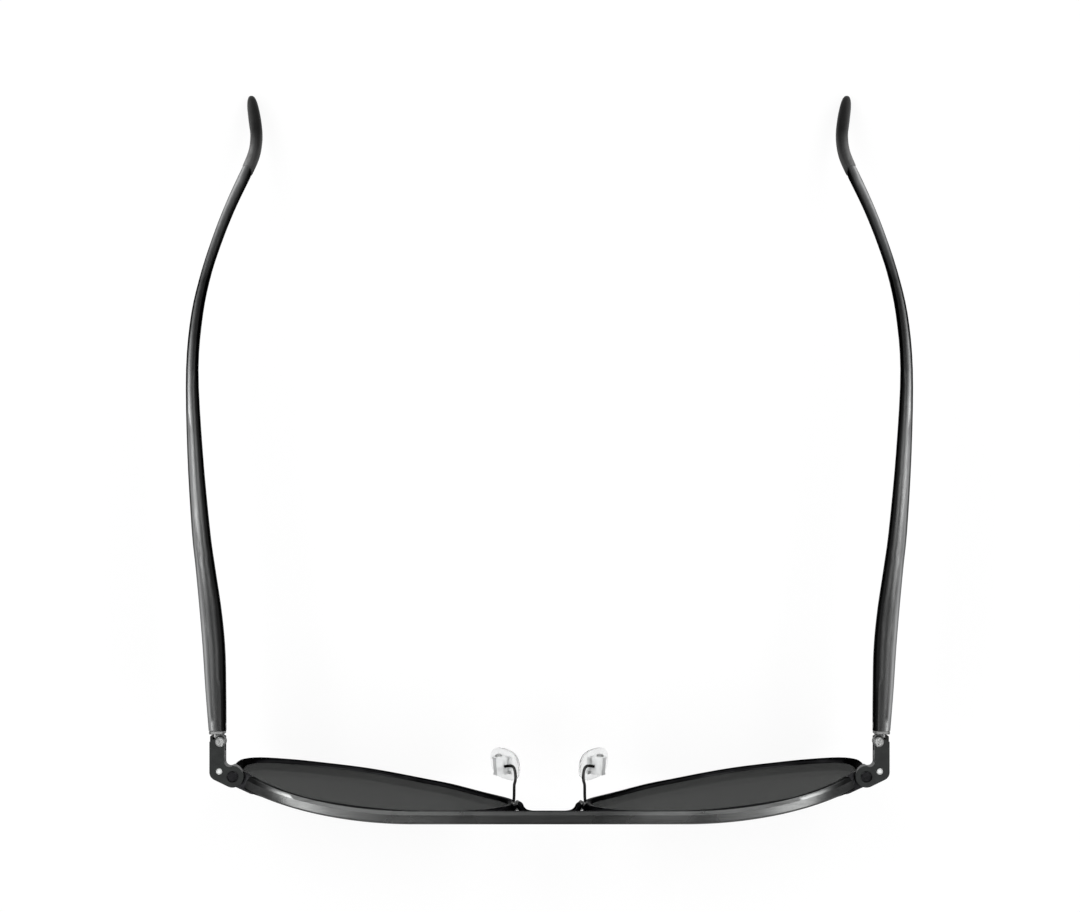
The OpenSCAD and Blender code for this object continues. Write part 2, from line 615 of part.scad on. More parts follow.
// Insert: a plate moulded into the pad, with a lug that stands out behind for the screw
plate_thick = pad_t * 0.2;
module insert_body(grow) {
    cube([plate_thick + 2 * grow, pad_w * 0.55 + 2 * grow, pad_h * 0.45 + 2 * grow], center = true);
    translate([0, pivot.y - lug_width / 2 - grow, pivot.z - pad_lug_r * 0.8 - grow])
        cube([pivot_out, lug_width + 2 * grow, pad_lug_r * 1.6 + 2 * grow]);
    across_pad(-lug_width / 2 - grow) cylinder(r = pad_lug_r, h = lug_width + 2 * grow);
}

module pad_insert() color([0.62, 0.64, 0.64]) in_pad() difference() {
    insert_body(0);
    across_pad(-lug_width) cylinder(r = pad_screw_r + run_play, h = 2 * lug_width);
}

// Pad arm: a wire soldered to the rim, which hooks over the pad to a cup for its lug
arm_step = 0.5;
arm_shares = [
    [0, 0, 0], [-0.07, 0.2, -0.12], [-0.08, 0.4, -0.28], [-0.1, 0.54, -0.36], [-0.22, 0.64, -0.42],
    [-0.25, 0.76, -0.46], [-0.19, 0.9, -0.47], [-0.02, 1.01, -0.42], [0.24, 1.05, -0.26],
    [0.64, 1.04, 0.12], [0.92, 1.02, 0.58], [1, 1, 1]];
arm_rings = 33;
arm_sides = 8;
cup_half = lug_width / 2 + run_play + cup_wall;
arm_base = place(on_lens(outline(arm_step) + inward(arm_step) * arm_r, rim_d / 2))
    + [0, solder_gap, 0];
arm_end = from_pad(pivot + [-cup_r * 0.75, -pad_w * 0.04, cup_r + arm_r]);
arm_path = [for (p = arm_shares) arm_base
    + [p.x * (arm_end.x - arm_base.x), p.y * (arm_end.y - arm_base.y), p.z * (arm_end.z - arm_base.z)]];

module pad_arm() color([0.5, 0.5, 0.5]) {
    sweep(path_rings(arm_path, arm_rings, [1, 0, 0.2], arm_r, arm_sides));
    in_pad() difference() {
        union() {
            for (y = [-cup_half, cup_half - cup_wall])
                across_pad(y) cylinder(r = cup_r + cup_wall, h = cup_wall);
            translate(pivot + [-cup_r, -cup_half, cup_r])
                cube([2 * cup_r + cup_wall, 2 * cup_half, 2 * arm_r]);
            translate(pivot + [cup_r, -cup_half, 0])
                cube([cup_wall, 2 * cup_half, cup_r + arm_r]);
        }
        across_pad(-cup_half - overrun) cylinder(r = pad_screw_r + fit_play, h = 2 * (cup_half + overrun));
    }
}

module pad_screw() color([0.7, 0.7, 0.7]) in_pad()
    across_pad(cup_half) screw(pad_screw_r, pad_screw_r * 1.8, pad_screw_r, 2 * cup_half);

brow_bar();
lower_bridge();
left() rim();  // rim_left
rim();  // rim_right
left() lens();  // lens_left
lens();  // lens_right
left() rim_screw();  // rim_screw_left
rim_screw();  // rim_screw_right
left() hinge_bracket();  // hinge_bracket_left
hinge_bracket();  // hinge_bracket_right
left() bracket_rivet();  // bracket_rivet_left
bracket_rivet();  // bracket_rivet_right
left() hinge_screw();  // hinge_screw_left
hinge_screw();  // hinge_screw_right
left() pad_arm();  // pad_arm_left
pad_arm();  // pad_arm_right
left() pad_screw();  // pad_screw_left
pad_screw();  // pad_screw_right
left() pad_insert();  // pad_insert_left
pad_insert();  // pad_insert_right
left() nose_pad();  // nose_pad_left
nose_pad();  // nose_pad_right
left() hinge_slider();  // hinge_slider_left
hinge_slider();  // hinge_slider_right
left() spring_nut();  // spring_nut_left
spring_nut();  // spring_nut_right
left() flex_spring();  // flex_spring_left
flex_spring();  // flex_spring_right
left() end_plate();  // end_plate_left
end_plate();  // end_plate_right
left() plug_screw();  // plug_screw_left
plug_screw();  // plug_screw_right
left() temple();  // temple_left
temple();  // temple_right
left() temple_tip();  // temple_tip_left
temple_tip();  // temple_tip_right
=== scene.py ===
"""Sunglasses with a brow bar and spring hinges.
Finishes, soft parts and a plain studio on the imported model."""

import json
import math

import bmesh
import bpy
from mathutils import Matrix, Vector

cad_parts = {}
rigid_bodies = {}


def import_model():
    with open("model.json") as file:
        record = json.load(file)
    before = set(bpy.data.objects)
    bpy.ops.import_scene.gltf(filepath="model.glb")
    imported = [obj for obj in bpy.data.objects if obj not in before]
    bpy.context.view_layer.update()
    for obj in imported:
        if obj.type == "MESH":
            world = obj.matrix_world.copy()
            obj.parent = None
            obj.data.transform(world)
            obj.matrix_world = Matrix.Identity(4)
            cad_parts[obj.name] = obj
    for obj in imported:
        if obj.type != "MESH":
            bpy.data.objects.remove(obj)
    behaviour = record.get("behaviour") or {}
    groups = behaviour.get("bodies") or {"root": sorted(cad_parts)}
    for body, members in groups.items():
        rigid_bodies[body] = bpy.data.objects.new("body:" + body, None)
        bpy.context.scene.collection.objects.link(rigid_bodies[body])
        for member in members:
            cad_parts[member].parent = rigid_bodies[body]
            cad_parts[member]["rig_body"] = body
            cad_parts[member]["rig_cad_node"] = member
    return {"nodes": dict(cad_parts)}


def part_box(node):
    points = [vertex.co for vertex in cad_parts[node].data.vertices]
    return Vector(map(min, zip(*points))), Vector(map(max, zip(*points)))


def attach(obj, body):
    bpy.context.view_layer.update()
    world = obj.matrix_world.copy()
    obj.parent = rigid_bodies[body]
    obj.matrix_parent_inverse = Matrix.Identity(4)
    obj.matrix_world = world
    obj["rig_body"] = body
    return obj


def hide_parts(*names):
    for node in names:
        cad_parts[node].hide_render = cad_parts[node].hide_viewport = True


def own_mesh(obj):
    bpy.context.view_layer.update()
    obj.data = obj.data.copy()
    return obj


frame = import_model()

bl_info = {
    "name": "Sunglasses workshop",
    "version": (1, 0, 0),
    "blender": (4, 5, 0),
    "location": "View3D > Sidebar > Sunglasses",
    "description": "Finishes, soft parts and studio for a pair of sunglasses",
    "category": "Object",
}

NODES = frame["nodes"]
SIDES = ("left", "right")
STARTERS = {"MESH", "LIGHT", "CAMERA"}
for leftover in [o for o in bpy.data.objects if o.type in STARTERS and "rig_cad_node" not in o]:
    bpy.data.objects.remove(leftover)
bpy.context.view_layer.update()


# Angles in degrees from which the faces of a piece meet in a crease
CREASE = {"brow_bar": 30.0, "lower_bridge": 70.0, "rim": 50.0, "lens": 30.0,
          "hinge_bracket": 30.0, "end_plate": 30.0, "flex_spring": 70.0, "pad_arm": 34.0,
          "pad_insert": 30.0, "temple": 40.0, "temple_tip": 45.0}
# Angles in degrees below which the faces of a piece become one. At 0 they all stay.
FLAT = {"brow_bar": 0.02, "temple": 0.02, "pad_arm": 0.0}
USUAL_FLAT = 0.4
# Edges sharper than this many degrees are rounded
ROUNDED_FROM = 32.0
# How far two triangles may bend, and their quad be skewed, to become one quad, in degrees
QUAD_BEND, QUAD_SKEW = 30, 50
# Least share of a face's normal along Y and Z on the bar's bevel, which gets a painted highlight,
# and along Y on a lens's rear
BEVEL_FACING = 0.35
REAR_FACING = 0.3
# Shares of the radius of a bead of solder along the three axes
BRIDGE_BEAD = (1.1, 1.5, 1.35)
ARM_BEAD = (0.8, 0.75, 1.0)
BEAD_LUMPS = 0.06
# Powers that shape a nose pad, which is fuller at lower ones
PAD_OUTER_RIM, PAD_INNER_RIM, PAD_OUTER_DOME, PAD_CORNERS = 0.8, 0.95, 0.75, 0.74

# Depths of reliefs in metres
RELIEF = 0.00002
FINE_RELIEF = 0.00001
RUBBER_RELIEF = 0.00003

# Ramps are pairs of a place along the way and a share of the colour.
# Brushed metal, from its darkest to its lightest strokes
STROKES = ((0.30, 0.74), (0.46, 0.95), (0.58, 1.06), (0.72, 1.3))
FINE_STROKE, LONG_STROKE = 9000.0, 160.0
# Scales of the broad strokes as shares of the fine ones', and the part that each has in the tone
BROAD_ACROSS, BROAD_ALONG = 0.22, 0.35
FINE_PART, BROAD_PART = 0.55, 0.45
# The bar from its middle to the half width at which its painted shade ends; the painted shade
# darkens its middle
BAR_REACH = 0.067
BAR_BLACK, BEVEL_BLACK = 0.91, 0.855
# Painted highlight and shade along a temple, whose run is from its front to its end
TEMPLE_RUN = (-0.06, 0.06)
TEMPLE_PAINTED_LIGHT_ALONG = ((0.0, 1.0), (0.5, 1.0), (0.6, 0.55), (0.7, 0.22), (0.79, 0.15), (0.86, 0.9),
                 (0.92, 1.2))
# Painted highlight bands and shade across a temple, from its inner to its outer side, at the hinge
# and behind the turn.
# Its inner side is black, partly as a black face and partly as painted shade.
TEMPLE_PAINTED_LIGHT_AT_HINGE = ((0.0, 0.02), (0.12, 0.05), (0.3, 0.07), (0.6, 0.11), (0.7, 0.25), (0.82, 0.95),
                (0.95, 1.0), (1.0, 0.45))
TEMPLE_PAINTED_LIGHT_BEHIND_TURN = ((0.0, 0.01), (0.2, 0.06), (0.45, 0.2), (0.6, 0.42), (0.72, 1.0), (0.82, 0.9),
               (0.9, 0.3), (1.0, 0.25))
TEMPLE_TURN = (-0.032, -0.012)
# Painted shade and highlight on a tip, from its inner to its outer side, and from its mouth to its
# end
TIP_PAINTED_SHADE_ACROSS = ((0.0, 0.02), (0.25, 0.1), (0.5, 0.3), (0.75, 1.0))
TIP_RUN = (0.0560, 0.0749)
TIP_PAINTED_LIGHT_ALONG = ((0.0, 1.5), (0.35, 1.0), (0.6, 0.22), (1.0, 0.2))
# A lens from its lower to its upper edge, along which painted shade darkens it towards the lower
# edge
LENS_SHADE_RUN = (0.0, 0.046)

# Studio: the camera's sensor in millimetres, and the rest in metres
SENSOR_WIDTH = 36.0
CLIP_START, CLIP_END = 0.01, 20.0
LAMP_SIDE, LAMP_HEIGHT = 0.45, 1.0
LAMP_SIZE = (0.40, 1.6)
PAPER_CORNERS = 96
PAPER_GAP = 0.00002
# Greys of the surroundings from the horizon to straight above, which are a little blue
SKY_GREYS = ((0.0, 0.9), (0.1, 0.9), (0.26, 0.6), (0.5, 0.2), (0.64, 0.1), (1.0, 0.08))
SKY_BLUE = 1.01


class FrameSizes(bpy.types.PropertyGroup):
    """Sizes of the pieces that this file makes or softens."""
    weld: bpy.props.FloatProperty(
        name="Weld", description="Points of a packed solid closer than this are one point",
        default=0.000002, min=0, precision=6, unit="LENGTH")
    bar_edge: bpy.props.FloatProperty(
        name="Bar edge", description="Rounding along the edges of the brow bar",
        default=0.00007, min=0, max=0.0003, precision=5, unit="LENGTH")
    plate_edge: bpy.props.FloatProperty(
        name="Plate edge", description="Rounding of the brackets and end plates",
        default=0.00009, min=0, max=0.0003, precision=5, unit="LENGTH")
    pad_place: bpy.props.FloatVectorProperty(
        name="Pad place", description="Middle of the right nose pad",
        default=(0.009, -0.0643, 0.0260998), unit="LENGTH", subtype="XYZ", precision=5)
    pad_size: bpy.props.FloatVectorProperty(
        name="Pad size", description="Thickness, width and height of a nose pad",
        default=(0.0022, 0.0064, 0.0134), unit="LENGTH", subtype="XYZ", precision=5)
    pad_turn: bpy.props.FloatVectorProperty(
        name="Pad turn", description="Tilt with the front, lean and splay of the right nose pad",
        default=(math.radians(5.8), math.radians(-25), math.radians(-4)), subtype="EULER")
    bridge_joint: bpy.props.FloatVectorProperty(
        name="Bridge joint",
        description="Middle of the solder where the bridge meets the right rim",
        default=(0.0065, -0.0726, 0.0288), unit="LENGTH", subtype="XYZ", precision=5)
    arm_joint: bpy.props.FloatVectorProperty(
        name="Arm joint", description="Middle of the solder where the pad arm meets the right rim",
        default=(0.0073, -0.0719, 0.0329), unit="LENGTH", subtype="XYZ", precision=5)
    solder: bpy.props.FloatProperty(
        name="Solder", description="Radius of a bead of solder",
        default=0.0007, min=0.0002, max=0.001, precision=5, unit="LENGTH")
    cup_top: bpy.props.FloatProperty(
        name="Cup top",
        description="The part of a pad arm up to this height over the middle of its pad is its cup",
        default=0.0042, min=0.003, max=0.006, precision=5, unit="LENGTH")


class FrameColours(bpy.types.PropertyGroup):
    """Colours of the finishes."""
    bar: bpy.props.FloatVectorProperty(
        name="Bar", description="Brushed dark metal of the brow bar",
        default=(0.12, 0.122, 0.121), subtype="COLOR", min=0, max=1)
    # A painted highlight: a lighter copy of the bar's metal on the bevel faces that look up and
    # back
    bevel: bpy.props.FloatVectorProperty(
        name="Bevel", description="Lighter bevel behind the top of the brow bar",
        default=(0.27, 0.275, 0.272), subtype="COLOR", min=0, max=1)
    # Multiplied by painted highlights and shade along and across each temple
    temple: bpy.props.FloatVectorProperty(
        name="Temple", description="Brushed dark metal outside the temples",
        default=(0.44, 0.445, 0.445), subtype="COLOR", min=0, max=1)
    paint: bpy.props.FloatVectorProperty(
        name="Paint", description="Satin black of the rims, bridge and rim screws",
        default=(0.016, 0.016, 0.017), subtype="COLOR", min=0, max=1)
    bracket: bpy.props.FloatVectorProperty(
        name="Bracket", description="Charcoal of the hinge brackets",
        default=(0.011, 0.0125, 0.012), subtype="COLOR", min=0, max=1)
    steel: bpy.props.FloatVectorProperty(
        name="Steel", description="Bare steel of the hinge and its screws",
        default=(0.36, 0.365, 0.36), subtype="COLOR", min=0, max=1)
    drawn: bpy.props.FloatVectorProperty(
        name="Drawn steel", description="Satin steel of the sliders and end plates",
        default=(0.19, 0.192, 0.19), subtype="COLOR", min=0, max=1)
    bright: bpy.props.FloatVectorProperty(
        name="Bright", description="Bright metal of the rivets",
        default=(0.6, 0.61, 0.6), subtype="COLOR", min=0, max=1)
    wire: bpy.props.FloatVectorProperty(
        name="Wire", description="Wire of the pad arms",
        default=(0.035, 0.035, 0.035), subtype="COLOR", min=0, max=1)
    lens: bpy.props.FloatVectorProperty(
        name="Lens", description="Grey tint of the lenses",
        default=(0.096, 0.098, 0.096), subtype="COLOR", min=0, max=1)
    silicone: bpy.props.FloatVectorProperty(
        name="Silicone", description="Clear silicone of the nose pads",
        default=(0.93, 0.935, 0.935), subtype="COLOR", min=0, max=1)
    solder: bpy.props.FloatVectorProperty(
        name="Solder", description="Solder where the wires meet the rims",
        default=(0.12, 0.12, 0.118), subtype="COLOR", min=0, max=1)
    cup: bpy.props.FloatVectorProperty(
        name="Cup", description="Satin steel of the cups that hold the nose pads",
        default=(0.78, 0.79, 0.79), subtype="COLOR", min=0, max=1)
    insert: bpy.props.FloatVectorProperty(
        name="Insert", description="Plastic inside the nose pads",
        default=(0.72, 0.73, 0.73), subtype="COLOR", min=0, max=1)
    rubber: bpy.props.FloatVectorProperty(
        name="Rubber", description="Sleeves at the ends of the temples",
        default=(0.13, 0.13, 0.13), subtype="COLOR", min=0, max=1)
    floor: bpy.props.FloatVectorProperty(
        name="Floor", description="Paper under the sunglasses",
        default=(0.92, 0.92, 0.92), subtype="COLOR", min=0, max=1)


class StudioSizes(bpy.types.PropertyGroup):
    """Places and strengths of the camera and the lamps."""
    camera_place: bpy.props.FloatVectorProperty(
        name="Camera", description="Place of the camera, which looks straight down",
        default=(-0.00192, -0.00106, 0.940), unit="LENGTH", subtype="XYZ", precision=5)
    focal: bpy.props.FloatProperty(
        name="Focal length", description="Focal length in millimetres on a 36 mm sensor",
        default=148.29, min=20, max=400)
    floor_width: bpy.props.FloatProperty(
        name="Floor width", description="Width of the sheet of paper",
        default=6.0, min=1, unit="LENGTH")
    side_lamp: bpy.props.FloatProperty(
        name="Side lamps", description="Radiance of the soft boxes over both sides",
        default=4.0, min=0)
    sky: bpy.props.FloatProperty(
        name="Sky", description="Strength of the plain surroundings", default=1.0, min=0)
    paper_glow: bpy.props.FloatProperty(
        name="Paper glow", description="Share of plain white in what is seen of the paper",
        default=0.87, min=0, max=1, subtype="FACTOR")


def sizes():
    return bpy.context.scene.frame_sizes


def colours():
    return bpy.context.scene.frame_colours


def studio():
    return bpy.context.scene.studio_sizes


def shade(colour, factor):
    return tuple(min(1.0, c * factor) for c in colour)


def tones(colour, *stops):
    """Stops of a ramp in one colour, from (place, share of the colour) pairs."""
    return [(place, shade(colour, share)) for place, share in stops]


def greys(stops):
    """Stops of a ramp in greys, which may be lighter than white, from (place, grey) pairs."""
    return [(place, (grey, grey, grey)) for place, grey in stops]


def fill_ramp(ramp, stops):
    """Gives a new ramp its (place, colour) stops."""
    band = ramp.color_ramp
    while len(band.elements) < len(stops):
        band.elements.new(0.5)
    for element, (place, colour) in zip(band.elements, stops):
        element.position = place
        element.color = (*colour, 1.0)


def on_side(place, side):
    """A place on the right, or its mirror image on the left."""
    x, y, z = place
    return (x if side == "right" else -x, y, z)


class Finish:
    """A material and the nodes that are added to it."""

    def __init__(self, name, roughness, metallic=0.0):
        self.material = bpy.data.materials.new(name)
        self.material.use_nodes = True
        self.nodes = self.material.node_tree.nodes
        self.links = self.material.node_tree.links
        self.shader = self.nodes["Principled BSDF"]
        self.shader.inputs["Roughness"].default_value = roughness
        self.shader.inputs["Metallic"].default_value = metallic
        self.place = self.nodes.new("ShaderNodeTexCoord").outputs["Object"]

    def set(self, **values):
        """Plain values on the shader's own sockets, with spaces of their names as underscores."""
        for name, value in values.items():
            socket = self.shader.inputs[name.replace("_", " ")]
            if hasattr(socket.default_value, "__len__") and len(value) == 3:
                value = (*value, 1.0)
            socket.default_value = value
        return self

    def grain(self, scale, detail=3.0, roughness=0.6, distortion=0.0):
        """Noise whose grains are 1 / scale long, with one scale or one for each axis."""
        mapping = self.nodes.new("ShaderNodeMapping")
        mapping.inputs["Scale"].default_value = scale if isinstance(scale, tuple) else (scale,) * 3
        noise = self.nodes.new("ShaderNodeTexNoise")
        noise.inputs["Scale"].default_value = 1.0
        noise.inputs["Detail"].default_value = detail
        noise.inputs["Roughness"].default_value = roughness
        noise.inputs["Distortion"].default_value = distortion
        self.links.new(self.place, mapping.inputs["Vector"])
        self.links.new(mapping.outputs["Vector"], noise.inputs["Vector"])
        return noise.outputs["Fac"]

    def between(self, factor, stops):
        """Colours along a factor, from (place, colour) stops."""
        ramp = self.nodes.new("ShaderNodeValToRGB")
        fill_ramp(ramp, stops)
        self.links.new(factor, ramp.inputs["Fac"])
        return ramp.outputs["Color"]

    def spread(self, factor, low, high, start=0.3, end=0.7):
        """A number between low and high along a factor."""
        spread = self.nodes.new("ShaderNodeMapRange")
        spread.inputs["From Min"].default_value = start
        spread.inputs["From Max"].default_value = end
        spread.inputs["To Min"].default_value = low
        spread.inputs["To Max"].default_value = high
        self.links.new(factor, spread.inputs["Value"])
        return spread.outputs["Result"]

    def way(self, axis, low, high):
        """Share of the way between two places on an axis."""
        parts = self.nodes.new("ShaderNodeSeparateXYZ")
        self.links.new(self.place, parts.inputs["Vector"])
        return self.spread(parts.outputs[axis], 0.0, 1.0, low, high)

    def reach(self, axis, end):
        """Distance from the middle along an axis, as a share of the end's."""
        parts = self.nodes.new("ShaderNodeSeparateXYZ")
        self.links.new(self.place, parts.inputs["Vector"])
        size = self.nodes.new("ShaderNodeMath")
        size.operation = "ABSOLUTE"
        self.links.new(parts.outputs[axis], size.inputs[0])
        return self.spread(size.outputs["Value"], 0.0, 1.0, 0.0, end)

    def across(self):
        """Share of the way from a temple's inner to its outer side."""
        share = self.nodes.new("ShaderNodeAttribute")
        share.attribute_name = "across"
        return share.outputs["Fac"]

    def cover(self, tone, factor, stops, later=None, turn=None):
        """A colour times the shares along a factor, from (place, share) stops, which paint light
        and shade on it.
        The later stops take over along the turn."""
        layer = self.between(factor, greys(stops))
        if later:
            fade = self.nodes.new("ShaderNodeMix")
            fade.data_type = "RGBA"
            self.links.new(turn, fade.inputs["Factor"])
            self.links.new(layer, fade.inputs["A"])
            self.links.new(self.between(factor, greys(later)), fade.inputs["B"])
            layer = fade.outputs["Result"]
        cover = self.nodes.new("ShaderNodeMix")
        cover.data_type = "RGBA"
        cover.blend_type = "MULTIPLY"
        cover.inputs["Factor"].default_value = 1.0
        self.links.new(tone, cover.inputs["A"])
        self.links.new(layer, cover.inputs["B"])
        return cover.outputs["Result"]

    def bump(self, *layers):
        """Relief from (factor, strength, depth in metres) layers, coarse first."""
        last = None
        for factor, strength, depth in layers:
            bump = self.nodes.new("ShaderNodeBump")
            bump.inputs["Strength"].default_value = strength
            bump.inputs["Distance"].default_value = depth
            self.links.new(factor, bump.inputs["Height"])
            if last:
                self.links.new(last, bump.inputs["Normal"])
            last = bump.outputs["Normal"]
        self.links.new(last, self.shader.inputs["Normal"])
        return self

    def feed(self, **sockets):
        """Links outputs to the shader's sockets, with spaces of their names as underscores."""
        for name, output in sockets.items():
            self.links.new(output, self.shader.inputs[name.replace("_", " ")])
        return self


def known(name, make):
    """The material of that name, made once."""
    return bpy.data.materials.get(name) or make(name).material


def bar_shares(black):
    """Shares along the bar, whose middle is darker as painted shade.
    It is black from the given share of its reach on."""
    return ((0.0, 0.36), (0.16, 0.5), (0.34, 1.0), (black - 0.04, 1.0), (black, 0.3),
            (black + 0.03, 0.07), (1.0, 0.04))


def brushed_finish(name, colour, along, roughness, black=BAR_BLACK):
    """Dark metal brushed along one axis, with darker and lighter strokes and a few broad ones.
    Along X it is the bar, darker in its middle as painted shade, black from a share of its reach
    on.
    Along Y it is a temple, with painted highlights and shade along and across it,
    and black inside, partly as a black face and partly as painted shade."""
    def strokes(width, length):
        return tuple(length if axis == along else width for axis in range(3))
    f = Finish(name, roughness, metallic=1.0)
    thin = f.grain(strokes(FINE_STROKE, LONG_STROKE), detail=4.0)
    broad = f.grain(strokes(FINE_STROKE * BROAD_ACROSS, LONG_STROKE * BROAD_ALONG),
                    detail=2.0, roughness=0.5)
    cloud = f.grain(90.0, detail=2.0, roughness=0.5)
    mix = f.nodes.new("ShaderNodeMath")
    mix.operation = "MULTIPLY_ADD"
    mix.inputs[1].default_value = FINE_PART
    f.links.new(thin, mix.inputs[0])
    f.links.new(f.spread(broad, 0.0, BROAD_PART, start=0.0, end=1.0), mix.inputs[2])
    tone = f.between(mix.outputs["Value"], tones(colour, *STROKES))
    # The bar gets its painted shade, and a temple its painted highlights and shade
    if along == 0:
        tone = f.cover(tone, f.reach("X", BAR_REACH), bar_shares(black))
    else:
        tone = f.cover(tone, f.way("Y", *TEMPLE_RUN), TEMPLE_PAINTED_LIGHT_ALONG)
        tone = f.cover(tone, f.across(), TEMPLE_PAINTED_LIGHT_AT_HINGE, later=TEMPLE_PAINTED_LIGHT_BEHIND_TURN,
                       turn=f.way("Y", *TEMPLE_TURN))
    f.feed(Base_Color=tone, Roughness=f.spread(cloud, roughness - 0.05, roughness + 0.06))
    f.set(Specular_Tint=(0.12, 0.12, 0.12))
    return f.bump((broad, 0.08, RELIEF), (thin, 0.2, RELIEF))


def painted_finish(name, colour, roughness=0.34):
    """Black plated metal with fine orange peel and rubbed patches."""
    f = Finish(name, roughness, metallic=1.0)
    peel = f.grain(2600.0, detail=2.0, roughness=0.5)
    patch = f.grain(240.0)
    f.feed(Base_Color=f.between(patch, tones(colour, (0.35, 0.75), (0.55, 1.0), (0.72, 1.5))))
    f.feed(Roughness=f.spread(patch, roughness - 0.06, roughness + 0.1))
    f.set(Specular_Tint=(0.15, 0.15, 0.15))
    return f.bump((peel, 0.12, RELIEF))


def blasted_finish(name, colour):
    """Charcoal paint over blasted metal, with a fine even grain."""
    f = Finish(name, 0.45)
    grit = f.grain(7000.0, detail=4.0, roughness=0.7)
    patch = f.grain(500.0)
    f.feed(Base_Color=f.between(patch, tones(colour, (0.3, 0.75), (0.5, 1.0), (0.75, 1.5))))
    f.feed(Roughness=f.spread(grit, 0.4, 0.55))
    f.set(Specular_IOR_Level=0.18)
    return f.bump((grit, 0.3, RELIEF))


def steel_finish(name, colour, roughness, edge=1.0):
    """Turned steel: fine rings of tooling, small scratches and stains.
    The edge is how much it shines at grazing angles."""
    f = Finish(name, roughness, metallic=1.0)
    tool = f.grain((5000.0, 5000.0, 900.0), detail=4.0, roughness=0.65)
    stain = f.grain(700.0)
    f.feed(Base_Color=f.between(stain, tones(colour, (0.3, 0.7), (0.5, 1.0), (0.7, 1.12))))
    f.feed(Roughness=f.spread(tool, roughness - 0.06, roughness + 0.1))
    f.set(Specular_Tint=(edge, edge, edge))
    return f.bump((tool, 0.2, FINE_RELIEF))


def satin_finish(name, colour):
    """Bead-blasted steel, light and even, with a fine grain."""
    f = Finish(name, 0.5, metallic=0.35)
    grit = f.grain(8000.0)
    stain = f.grain(600.0)
    f.feed(Base_Color=f.between(stain, tones(colour, (0.3, 0.82), (0.5, 1.0), (0.7, 1.08))))
    f.feed(Roughness=f.spread(grit, 0.42, 0.56))
    return f.bump((grit, 0.2, FINE_RELIEF))


def lens_finish(name, colour, gloss):
    """Grey tinted lens, a little darker towards its lower edge as painted shade, with faint wiped
    traces.
    """
    f = Finish(name, 0.04)
    wiped = f.grain((60.0, 160.0, 40.0), distortion=0.4)
    f.feed(Base_Color=f.between(f.way("Z", *LENS_SHADE_RUN),
                                tones(colour, (0.0, 0.92), (0.5, 1.0), (1.0, 1.04))))
    f.feed(Roughness=f.spread(wiped, 0.02, 0.07))
    f.set(Transmission_Weight=0.5, IOR=1.001, Coat_Weight=gloss, Coat_Roughness=0.03)
    return f


def silicone_finish(name, colour):
    """Clear silicone, faintly clouded, with a soft skin."""
    f = Finish(name, 0.16)
    cloud = f.grain((700.0, 700.0, 500.0))
    skin = f.grain(5200.0, detail=2.0, roughness=0.5)
    f.feed(Base_Color=f.between(cloud, tones(colour, (0.3, 0.95), (0.7, 1.0))))
    f.feed(Roughness=f.spread(cloud, 0.04, 0.1))
    f.set(Transmission_Weight=0.95, IOR=1.04, Coat_Weight=0.5, Coat_Roughness=0.2)
    return f.bump((skin, 0.03, FINE_RELIEF))


def plastic_finish(name, colour):
    """Moulded plastic with a fine sparked texture."""
    f = Finish(name, 0.4)
    spark = f.grain(6500.0)
    flow = f.grain((260.0, 260.0, 700.0), detail=2.0, roughness=0.5, distortion=0.6)
    f.feed(Base_Color=f.between(flow, tones(colour, (0.3, 0.86), (0.7, 1.06))))
    f.feed(Roughness=f.spread(spark, 0.34, 0.48))
    return f.bump((spark, 0.15, RELIEF))


def rubber_finish(name, colour):
    """Matt rubber with a fine grain and dull rubbed places.
    Painted shade darkens its inner side, and a painted highlight fades from its mouth to its end.
    """
    f = Finish(name, 0.5)
    grain = f.grain(5200.0, roughness=0.65)
    rubbed = f.grain((160.0, 110.0, 160.0))
    tone = f.between(rubbed, tones(colour, (0.35, 0.8), (0.55, 1.1), (0.75, 1.6)))
    # Painted shade on the inner side, then a painted highlight that fades from the mouth
    tone = f.cover(tone, f.across(), TIP_PAINTED_SHADE_ACROSS)
    f.feed(Base_Color=f.cover(tone, f.way("Y", *TIP_RUN), TIP_PAINTED_LIGHT_ALONG))
    f.feed(Roughness=f.spread(rubbed, 0.4, 0.58))
    f.set(Specular_IOR_Level=0.06, Sheen_Weight=0.02)
    return f.bump((grain, 0.25, RUBBER_RELIEF))


def black_enamel():
    return known("black_enamel", lambda n: painted_finish(n, colours().paint))


def turned_steel():
    return known("turned_steel", lambda n: steel_finish(n, colours().steel, 0.28))


def solder_metal():
    return known("solder", lambda n: steel_finish(n, colours().solder, 0.34, edge=0.5))


def dress(node, material):
    """A CAD node that keeps its own shape gets a finish."""
    slots = NODES[node].data.materials
    slots.clear()
    slots.append(material)


def settle(bm, name, body, slot, *materials, replaced=()):
    """Makes a piece of a bmesh, in the frame's place, on its body."""
    mesh = bpy.data.meshes.new(name)
    bm.to_mesh(mesh)
    bm.free()
    for material in materials:
        mesh.materials.append(material)
    piece = bpy.data.objects.new(name, mesh)
    bpy.context.scene.collection.objects.link(piece)
    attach(piece, body)
    if replaced:
        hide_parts(*replaced)
    return piece


